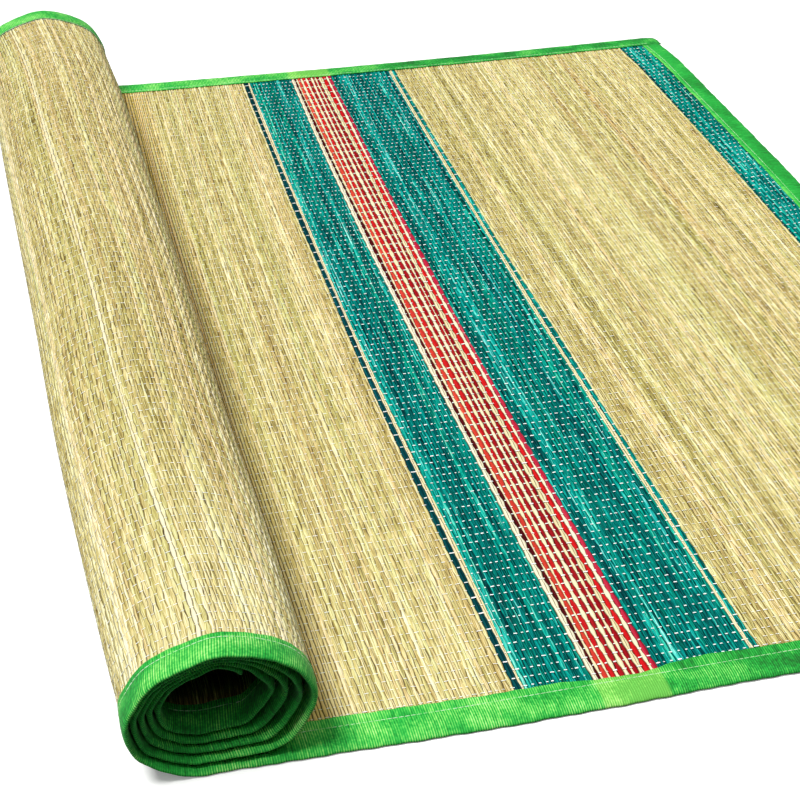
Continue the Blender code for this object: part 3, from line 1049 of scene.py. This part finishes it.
def thread_tree():
    """Grains of thread on every other crossing of the weave."""
    tree, size = new_tree(
        "threads over stalks", WEAVE_COUNTS + ("Seed",),
        WEAVE_SIZES + ("Length", "Width", "Thickness", "Height", "Shortest"))
    grid = add(tree, "GeometryNodeMeshGrid", {
        "Vertices X": size["Stalks"], "Vertices Y": size["Threads"],
    })
    row, thread = grid_numbers(tree, size["Threads"])
    stalk = add(tree, "ADD", (row, size["First stalk"]))
    along, across = (
        chain(tree, counted, ("ADD", 0.5), ("MULTIPLY_ADD", size[pitch], size["Start"]))
        for counted, pitch in ((stalk, "Stalk pitch"), (thread, "Thread pitch"))
    )
    place = add(tree, VECTOR, (along, across, size["Height"]))
    placed = add(tree, "GeometryNodeSetPosition", {"Geometry": grid, "Position": place})
    over = chain(tree, stalk, ("ADD", thread), ("ADD", size["Parity"]),
                 ("FLOORED_MODULO", 2.0), ("GREATER_THAN", 0.5))

    bar = add(tree, "GeometryNodeMeshCylinder", {
        "Vertices": 3, "Side Segments": 1, "Radius": 0.58, "Depth": 1.0,
    }, fill_type="NGON")
    turn = add(tree, "FunctionNodeRandomValue", {
        "Min": (-0.1, -0.08, -0.14), "Max": (0.1, 0.08, 0.14), "Seed": size["Seed"],
    }, data_type="FLOAT_VECTOR")
    least = add(tree, VECTOR, (size["Shortest"], 0.75, 0.9))
    set_shapes(tree, size, bar, least, (1.15, 1.15, 1.1), {
        "Points": placed, "Selection": over, "Rotation": turn,
    })
    return tree


grain_tree = thread_tree()
print("the tree for dashes has", len(grain_tree.nodes), "nodes")


# %% Lay the threads
DASH_HEIGHT = 0.00088
# The length, width and thickness of a dash. The thread is finer over the undyed stalks.
OVER_STRIPES = (0.0017, 0.00086, 0.00054)
OVER_FIELDS = (0.0023, 0.00046, 0.00028)


def thread_piece(name, first, last, size, seen_above=True):
    """The dashes of thread that show on one face, between two stalks."""
    mesh = grow(grain_tree, {
        **weave_inputs(first, last, seen_above), "Material": cotton_thread,
        "Length": size[0], "Width": size[1], "Thickness": size[2],
        "Height": DASH_HEIGHT, "Shortest": 0.60, "Seed": 7,
    })
    points = read_points(mesh)
    if seen_above:
        # A strip is mirrored as it is laid, because its length runs from right to left.
        mesh.flip_normals()
    else:
        points[:, 2] *= -1.0
    mesh.vertices.foreach_set("co", lay(stray(points)).ravel())
    mesh.shade_flat()
    mesh.name = name
    return put(name, mesh)


threads = (
    thread_piece("threads_end_stripe", CUTS[0], CUTS[1], OVER_STRIPES),
    thread_piece("threads_right_field", CUTS[1], CUTS[2], OVER_FIELDS),
    thread_piece("threads_stripe_group", CUTS[2], CUTS[3], OVER_STRIPES),
    thread_piece("threads_left_field", CUTS[3], CUTS[4], OVER_FIELDS),
    thread_piece("threads_roll_outside", CUTS[5], CUTS[6], OVER_FIELDS, seen_above=False),
)
show(threads)

# %% [markdown]
# ## The green tape
#
# The binding is a ribbed cotton tape. It is folded over the edge and sewn through, so it is
# pressed flat along the stitches and puffed at the fold. Fine ribs cross it, with narrow
# crowns between wide hollows. The dye took in patches, and the ribs show most where a patch
# is pale. The tape gets paler towards the roll, and the roll's inner turns are painted
# darker, as painted shade. The flat end's tape is a smoother one, and it is painted paler
# inside its stitches, as a painted highlight where it faces up.
#
# The ribs are too fine for the mesh, so the material draws them along the tape's own run.
# The fold's section is a closed ring of a few points. The ring is carried along the edge,
# and small slow waves move its inner edge and its puff, so that no stretch looks machined.

# %% Ribbed cotton
RIB_PITCH = 0.00140
STITCH_DEPTH = 18.2
TAPE_SHADES = (
    (0.10, "006418"), (0.28, "009628"), (0.42, "14B43C"), (0.54, "4CCC4C"),
    (0.70, "8CE668"), (1.00, "D8FCAC"),
)
TAPE_GRAINS = (
    # run, depth, layer
    (RIB_PITCH, 0.012, 0.0),  # each rib
    (0.0022, 0.0022, 3.0),  # flecks
    (0.034, 0.020, 6.0),  # patches
    (0.150, 9.0, 9.0),  # whole lengths of tape
)
BAND_START, BAND_END = RED_BAND_RUN
RUN_CHANGES = (
    # where a change starts and ends along a long edge, and its value before and after
    (0.30, 0.50, -0.09, 0.10),  # paler towards the roll
    (0.52, 0.60, 0.00, -0.06),  # the shaded foot of the roll
    # The inner turns are painted darker, as painted shade inside the roll.
    (0.86, 0.96, 0.00, -0.13),  # the inner turns
    (BAND_START - 0.001, BAND_START + 0.001, 0.0, 1.0),  # onto the red band
    (BAND_END - 0.001, BAND_END + 0.001, 0.0, 1.0),  # off the red band
)


def tape_finish(name, ribbed, level, slope=0.0, long_edge=False):
    """Green cotton tape. The attribute "run" goes along the tape and "depth" over it.
    Ribbed says how much the ribs show, level is the mean tone, and slope says how fast it
    gets paler inside the stitches. A long edge's tape also changes along its run."""
    material, tree, surface = new_material(
        name, Roughness=0.80, Sheen_Weight=0.05, Sheen_Roughness=0.5)
    run, depth = (
        add(tree, "ShaderNodeAttribute", attribute_name=label).outputs["Fac"]
        for label in ("run", "depth")
    )
    rib = chain(tree, run, ("MULTIPLY", 2 * math.pi / RIB_PITCH), ("SINE",),
                ("MULTIPLY_ADD", 0.5, 0.5), ("POWER", 1.6))

    noises = []
    for run_length, depth_length, layer in TAPE_GRAINS:
        ahead = add(tree, "MULTIPLY", (run, 1.0 / run_length))
        over = add(tree, "MULTIPLY", (depth, 1.0 / depth_length))
        spot = add(tree, VECTOR, (ahead, over, layer))
        noises.append(add(tree, NOISE, {"Vector": spot, "Scale": 1.0, "Detail": 1.0}))
    shown = add(tree, RANGE, {
        "Value": noises[2], "From Min": 0.36, "From Max": 0.62, "To Min": 0.16 * ribbed,
        "To Max": 0.40 * ribbed,
    })
    tone = add(tree, "MULTIPLY", (rib, shown))
    shares = (0.45, 0.15 + 0.30 * ribbed, 0.20 + 0.30 * ribbed, 0.25)
    for noise, share in zip(noises, shares):
        tone = add(tree, "MULTIPLY_ADD", (noise, share, tone))
    tone = add(tree, "SUBTRACT", (tone, sum(shares) / 2 - level))
    if long_edge:
        paler, shaded, inner, entering, leaving = (
            add(tree, RANGE, {
                "Value": run, "From Min": start, "From Max": end, "To Min": low,
                "To Max": high,
            }) for start, end, low, high in RUN_CHANGES
        )
        tone = chain(tree, tone, ("ADD", paler), ("ADD", shaded))
        # The pale stalks of the red band show through the thin tape that covers them.
        over_band = add(tree, "SUBTRACT", (entering, leaving))
        tone = add(tree, "MULTIPLY_ADD", (over_band, 0.07, tone))
        least = chain(tree, rib, ("MULTIPLY_ADD", 0.20, 0.34), ("MULTIPLY", over_band))
        tone = chain(tree, tone, ("MAXIMUM", least), ("ADD", inner))
    # Painted highlight: slope makes the tape paler inside the stitches, where it faces up.
    inside = chain(tree, depth, ("SUBTRACT", (STITCH_DEPTH - 1.5) * MM), ("MAXIMUM", 0.0))
    tone = add(tree, "MULTIPLY_ADD", (inside, slope, tone))
    colour = add(tree, "ShaderNodeValToRGB", (tone,), TAPE_SHADES).outputs[0]
    if long_edge:
        over_band = add(tree, "MULTIPLY", (over_band, 0.14))
        colour = add(tree, "ShaderNodeMix", {
            "Factor": over_band, 6: colour, 7: linear("ECF870"),
        }, data_type="RGBA").outputs[2]
    tree.links.new(colour, surface.inputs["Base Color"])
    bump = add(tree, "ShaderNodeBump", {
        "Strength": 0.6 * ribbed, "Distance": 0.00025, "Height": rib,
    })
    tree.links.new(bump.outputs[0], surface.inputs["Normal"])
    return material


green_tape = tape_finish("ribbed_green_cotton_tape", 1.0, 0.30, long_edge=True)
# The flat end's tape is painted paler inside its stitches, as a painted highlight.
smooth_tape = tape_finish("smoother_green_cotton_tape", 0.3, 0.30, slope=48.0)
# The inner end's tape lies inside the roll's core and is painted darker, as painted shade.
inner_tape = tape_finish("inner_green_cotton_tape_painted_shade", 1.0, 0.17)
print("a rib takes", RIB_PITCH / MM, "mm")

# %% The folded tape
# Half of the fold's outer face, from its inner edge to the fold, in mm.
FOLD_ROWS = (
    # depth, height
    (23.0, 1.12),
    (22.5, 1.50),
    (21.0, 1.64),
    (19.2, 1.56),
    (STITCH_DEPTH, 1.40),
    (17.0, 1.62),
    (13.0, 1.88),
    (8.0, 1.84),
    (3.2, 1.50),
    (0.9, 1.00),
)
# The same for its inner face, which lies on the weave.
LINING_ROWS = (
    # depth, height
    (22.4, 1.13),
    (2.6, 1.14),
)
LINING_FOLD = 0.8
TAPE_STEP = 0.0030
RIM_ZONE = (17.5 * MM, 21.5 * MM)
FOLD_ZONE = 9.0 * MM
LINING_HEIGHT = 1.15 * MM
JOIN_STEP = 0.9 * MM
# How far each slow wave moves the tape, and the lengths that it is made of.
RIM_WAVE = (0.60 * MM, (0.013, 0.031, 0.074))
PUFF_WAVE = (0.14, (0.012, 0.019, 0.047))
FOLD_WAVE = (0.55 * MM, (0.013, 0.029, 0.061))


def fold_ring(width):
    """The ring round the folded tape's section, in metres: depth, height, over the tape."""
    shrink = width / (FOLD_ROWS[0][0] * MM)
    outer = [(depth * shrink, height) for depth, height in FOLD_ROWS]
    lining = [(depth * shrink, height) for depth, height in LINING_ROWS]
    ring = outer + [(0.0, 0.0)] + [(d, -h) for d, h in reversed(outer)]
    ring += [(d, -h) for d, h in lining] + [(LINING_FOLD, 0.0)]
    ring += [(d, h) for d, h in reversed(lining)]
    ring = np.array(ring) * MM
    over = np.where(ring[:, 1] >= 0.0, ring[:, 0], -ring[:, 0])
    return ring, over


def slow_wave(run, seed, lengths):
    """A smooth wave between about minus one and one, from a few wave lengths."""
    random = np.random.default_rng(seed)
    total = np.zeros_like(run)
    for length in lengths:
        total += np.sin(2 * math.pi * run / length + random.uniform(0.0, 2 * math.pi))
    return total / len(lengths)


# How far a tape goes beyond its width on the mat, and beyond the mat's edge, in mm. The
# hand that folded it was not quite steady, and the photograph shows where it strayed.
NEAR_REACH = (
    # run, inwards, outwards
    (0, 1.0, -0.6),
    (250, 2.4, -1.0),
    (283, 2.8, -1.2),
    (301, 3.6, -1.2),
    (319, 4.0, -1.4),
    (337, 2.0, -0.6),
    (355, -1.0, 0.0),
    (382, -1.0, 0.2),
    (408, 1.4, 0.5),
    (440, 1.6, 0.6),
    (477, 2.2, 0.4),
    (510, 3.0, 0.2),
    (535, 3.0, 0.4),
    (600, 0.0, 0.0),
)
FAR_REACH = (
    (0, -1.4, 0.8),
    (400, -2.2, 1.2),
    (600, -2.0, 1.2),
    (680, -4.5, 0.5),
)
EVEN_REACH = ((0, 0.0, 0.0), (1, 0.0, 0.0))


def tape_piece(name, runs, width, place, seed, reach=EVEN_REACH, finish=green_tape,
               join=None):
    """A folded tape carried along its runs. Place turns run, depth and height into points
    on the mat. From the join on, it is a new length, folded a little deeper."""
    ring, over = fold_ring(width)
    marks = [row[0] * MM for row in reach]
    inwards, outwards = (
        curve_through(marks, [row[i] * MM for row in reach], runs) for i in (1, 2))
    rim, puff, fold = (
        slow_wave(runs, seed + i, lengths)
        for i, (_, lengths) in enumerate((RIM_WAVE, PUFF_WAVE, FOLD_WAVE)))
    rim = rim * RIM_WAVE[0] + inwards
    if join is not None:
        rim = rim + np.where(runs > join, JOIN_STEP, 0.0)
    puff = 1.0 + PUFF_WAVE[0] * puff
    fold = (1.0 + fold) * FOLD_WAVE[0] - outwards
    depth = ring[None, :, 0] + rim[:, None] * smooth_step(ring[None, :, 0], *RIM_ZONE)
    depth = depth + fold[:, None] * (1.0 - smooth_step(depth, 0.0, FOLD_ZONE))
    outer = np.abs(ring[None, :, 1]) > LINING_HEIGHT
    height = ring[None, :, 1] * np.where(outer, puff[:, None], 1.0)
    run = np.broadcast_to(runs[:, None], depth.shape)
    points = place(run.ravel(), depth.ravel(), height.ravel())
    rows, columns = depth.shape
    numbers = np.arange(rows * columns).reshape(rows, columns)
    here, beyond = numbers[:-1], numbers[1:]
    quads = np.column_stack((
        here.ravel(), beyond.ravel(),
        np.roll(beyond, -1, 1).ravel(), np.roll(here, -1, 1).ravel()))
    piece = mesh_piece(name, lay(points), quads.tolist(), {
        "run": run.ravel(), "depth": np.broadcast_to(over, depth.shape).ravel(),
    }, (finish,))
    close_tape(piece, numbers)
    return piece


def close_tape(piece, numbers):
    """Cap the tape's two ends and turn every face outwards."""
    shape = bmesh.new()
    shape.from_mesh(piece.data)
    shape.verts.ensure_lookup_table()
    for ring in (numbers[0], numbers[-1]):
        shape.faces.new([shape.verts[int(number)] for number in ring])
    bmesh.ops.recalc_face_normals(shape, faces=shape.faces)
    shape.to_mesh(piece.data)
    shape.free()


def near_edge(run, depth, height):
    """Points on the mat for a run along its near edge and a depth from it."""
    return np.column_stack((run, depth, height))


def far_edge(run, depth, height):
    """The same for its far edge."""
    return np.column_stack((run, MAT_WIDTH - depth, height))


def flat_end(run, depth, height):
    """The same for the end that lies flat."""
    return np.column_stack((depth, run, height))


def inner_end(run, depth, height):
    """The same for the end inside the roll."""
    return np.column_stack((MAT_LENGTH - depth, run, height))


edge_runs = np.arange(0.0, MAT_LENGTH, TAPE_STEP)
edge_runs = np.append(edge_runs, MAT_LENGTH)
end_runs = np.arange(END_TAPE_WIDTH, MAT_WIDTH - END_TAPE_WIDTH, TAPE_STEP)
TAPE_JOIN = 0.795
tape_near = tape_piece("tape_near", edge_runs, EDGE_TAPE_WIDTH, near_edge, 3,
                       reach=NEAR_REACH, join=TAPE_JOIN)
tape_far = tape_piece("tape_far", edge_runs, EDGE_TAPE_WIDTH, far_edge, 5,
                      reach=FAR_REACH)
tape_flat = tape_piece("tape_flat_end_fold", end_runs, END_TAPE_WIDTH, flat_end, 9,
                       finish=smooth_tape)
tape_inner = tape_piece("tape_inner_end_fold", end_runs, END_TAPE_WIDTH, inner_end, 11,
                        finish=inner_tape)
tapes = (tape_near, tape_far, tape_flat, tape_inner)
show(tapes)

# %% [markdown]
# ## The stitches
#
# One line of machine stitches holds the tape, and it shows on both faces as a fine pale
# line. The line could be one long tube, but then it would have no stitches close up. So it
# is a row of points laid at the stitch depth. A tree turns it into a curve, spaces points
# along it, and sets a small rounded stitch on each, turned to the cloth.

# %% A tree for machine stitches
def stitch_tree():
    """Stitches along lines whose points carry the cloth's direction as "facing"."""
    tree, size = new_tree(
        "machine stitches", ("Seed",), ("Spacing", "Length", "Width", "Thickness"))
    line = add(tree, "GeometryNodeMeshToCurve", (size["Geometry"],))
    line = add(tree, "GeometryNodeResampleCurve",
               {"Curve": line, "Length": size["Spacing"]}, mode="LENGTH")
    facing = add(tree, "GeometryNodeInputNamedAttribute", ("facing",),
                 data_type="FLOAT_VECTOR")
    tangent = add(tree, "GeometryNodeInputTangent")
    turn = add(tree, "FunctionNodeAxesToRotation", (facing.outputs[0], tangent),
               primary_axis="Z", secondary_axis="X")
    ball = add(tree, "GeometryNodeMeshUVSphere", {"Segments": 4, "Rings": 4, "Radius": 0.5})
    set_shapes(tree, size, ball, (0.9,) * 3, (1.1,) * 3, {"Points": line, "Rotation": turn})
    return tree


line_tree = stitch_tree()
print("the tree for stitches has", len(line_tree.nodes), "nodes")


# %% Sew the tapes
STITCH_SPACING = 0.0034
STITCH_LENGTH = 0.0034
STITCH_WIDTH = 0.00060
STITCH_HEIGHT = 0.00142
SEAM_STEP = 0.001
EDGE_SEAM = (0.016, 0.003)
END_SEAM = 0.024


def stitch_piece(name, runs, width, place):
    """Both faces' stitches of one tape."""
    depth = np.full(len(runs), STITCH_DEPTH * MM * width / (FOLD_ROWS[0][0] * MM))
    places = []
    facing = []
    edges = []
    # A second row of points tells which way the cloth faces. Under the mat it lies further
    # in instead of further out, because nothing is laid below the floor.
    for side, reference in ((1.0, STITCH_HEIGHT + 0.001), (-1.0, 0.0004)):
        line, other = (
            lay(place(runs, depth, np.full(len(runs), side * height)))
            for height in (STITCH_HEIGHT, reference)
        )
        first = sum(len(part) for part in places)
        places.append(line)
        out = side * (other - line)
        facing.append(out / np.linalg.norm(out, axis=1)[:, None])
        edges += [(first + i, first + i + 1) for i in range(len(runs) - 1)]
    mesh = bpy.data.meshes.new(name)
    mesh.from_pydata(np.concatenate(places), edges, [])
    layer = mesh.attributes.new("facing", "FLOAT_VECTOR", "POINT")
    layer.data.foreach_set("vector", np.concatenate(facing).astype(np.float32).ravel())
    sewn = grow(line_tree, {
        "Spacing": STITCH_SPACING, "Length": STITCH_LENGTH, "Width": STITCH_WIDTH,
        "Thickness": STITCH_WIDTH, "Seed": 4, "Material": sewing_thread,
    }, mesh)
    sewn.shade_smooth()
    sewn.name = name
    return put(name, sewn)


sewn_edge = np.arange(EDGE_SEAM[0], MAT_LENGTH - EDGE_SEAM[1], SEAM_STEP)
sewn_end = np.arange(END_SEAM, MAT_WIDTH - END_SEAM, SEAM_STEP)
stitches_near = stitch_piece("stitches_near", sewn_edge, EDGE_TAPE_WIDTH, near_edge)
stitches_far = stitch_piece("stitches_far", sewn_edge, EDGE_TAPE_WIDTH, far_edge)
stitches_flat = stitch_piece("stitches_flat_end", sewn_end, END_TAPE_WIDTH, flat_end)
stitches_inner = stitch_piece("stitches_inner_end", sewn_end, END_TAPE_WIDTH, inner_end)
stitches = (stitches_near, stitches_far, stitches_flat, stitches_inner)
show(stitches)

# %% [markdown]
# ## Pieces on the body
#
# Every piece rides on the one body. The woven strips together stand for the imported sheet,
# and each tape for its own solid, which is hidden. The length of each woven strip when the
# mat is spread out is worked out.

# %% Pieces on the body, and flat lengths
for piece in (*weaves, *threads, *tapes, *stitches):
    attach(piece, "root")
for piece in weaves:
    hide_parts("grass_sheet")
nodes = ("tape_near_edge", "tape_far_edge", "tape_flat_end", "tape_inner_end")
for piece, node in zip(tapes, nodes):
    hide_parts(node)

for piece, first, last in zip(weaves, CUTS[:-1], CUTS[1:]):
    length = float((STALK_EDGES[last] - STALK_EDGES[first]) * STALK_PITCH)

# %% [markdown]
# ## Floor and light
#
# The mat lies on a plain white floor under large soft lights, as in a product picture. The
# main light comes from above on the left, so the roll's top is bright, its right side is
# dimmer, and a soft dark line lies along its foot. A ceiling of light fills the rest. The
# room's white wall is there to look at only: it lights nothing, nor does the floor.

# %% Floor, lights and room
FLOOR_SIDE = 40.0
FLOOR_LEVEL = -0.0002


def plain_floor():
    """A wide floor just under the mat: white paper, matt, with a faint grain."""
    material, tree, surface = new_material(
        "white_paper_floor", Base_Color=linear("F7F7F5"), Roughness=0.9,
        Emission_Color=linear("FFFFFF"), Emission_Strength=0.25)
    place = add(tree, "ShaderNodeTexCoord").outputs["Object"]
    grain = add(tree, NOISE, {"Vector": place, "Scale": 300.0})
    bump = add(tree, "ShaderNodeBump", {
        "Strength": 0.05, "Distance": 0.0002, "Height": grain,
    })
    tree.links.new(bump.outputs[0], surface.inputs["Normal"])
    corners = [(x * FLOOR_SIDE, y * FLOOR_SIDE, FLOOR_LEVEL)
               for x, y in ((-1, -1), (1, -1), (1, 1), (-1, 1))]
    return mesh_piece("floor", corners, [(0, 1, 2, 3)], {}, (material,))


floor = plain_floor()
floor.visible_diffuse = False

room = bpy.data.worlds.new("soft_white_room")
room.use_nodes = True
wall_shader = room.node_tree.nodes["Background"]
wall_shader.inputs["Color"].default_value = linear("FFFFFF")
wall_shader.inputs["Strength"].default_value = 0.95
for rays in ("diffuse", "glossy", "transmission"):
    setattr(room.cycles_visibility, rays, False)
bpy.context.scene.world = room


def soft_sun(name, towards, strength, angle):
    """An even light from far away, as from a large overhead box."""
    data = bpy.data.lights.new(name, "SUN")
    data.energy = strength
    data.angle = math.radians(angle)
    light = put(name, data)
    light.rotation_euler = Vector(towards).to_track_quat("-Z", "Y").to_euler()


soft_sun("overhead_light", (0.40, 0.03, -1.0), 3.16, 22.0)
soft_sun("ceiling_light", (-0.05, 0.00, -1.0), 1.15, 85.0)
bpy.context.scene.view_settings.view_transform = "Standard"
print("two soft lights, and a floor of", 2 * FLOOR_SIDE, "m")
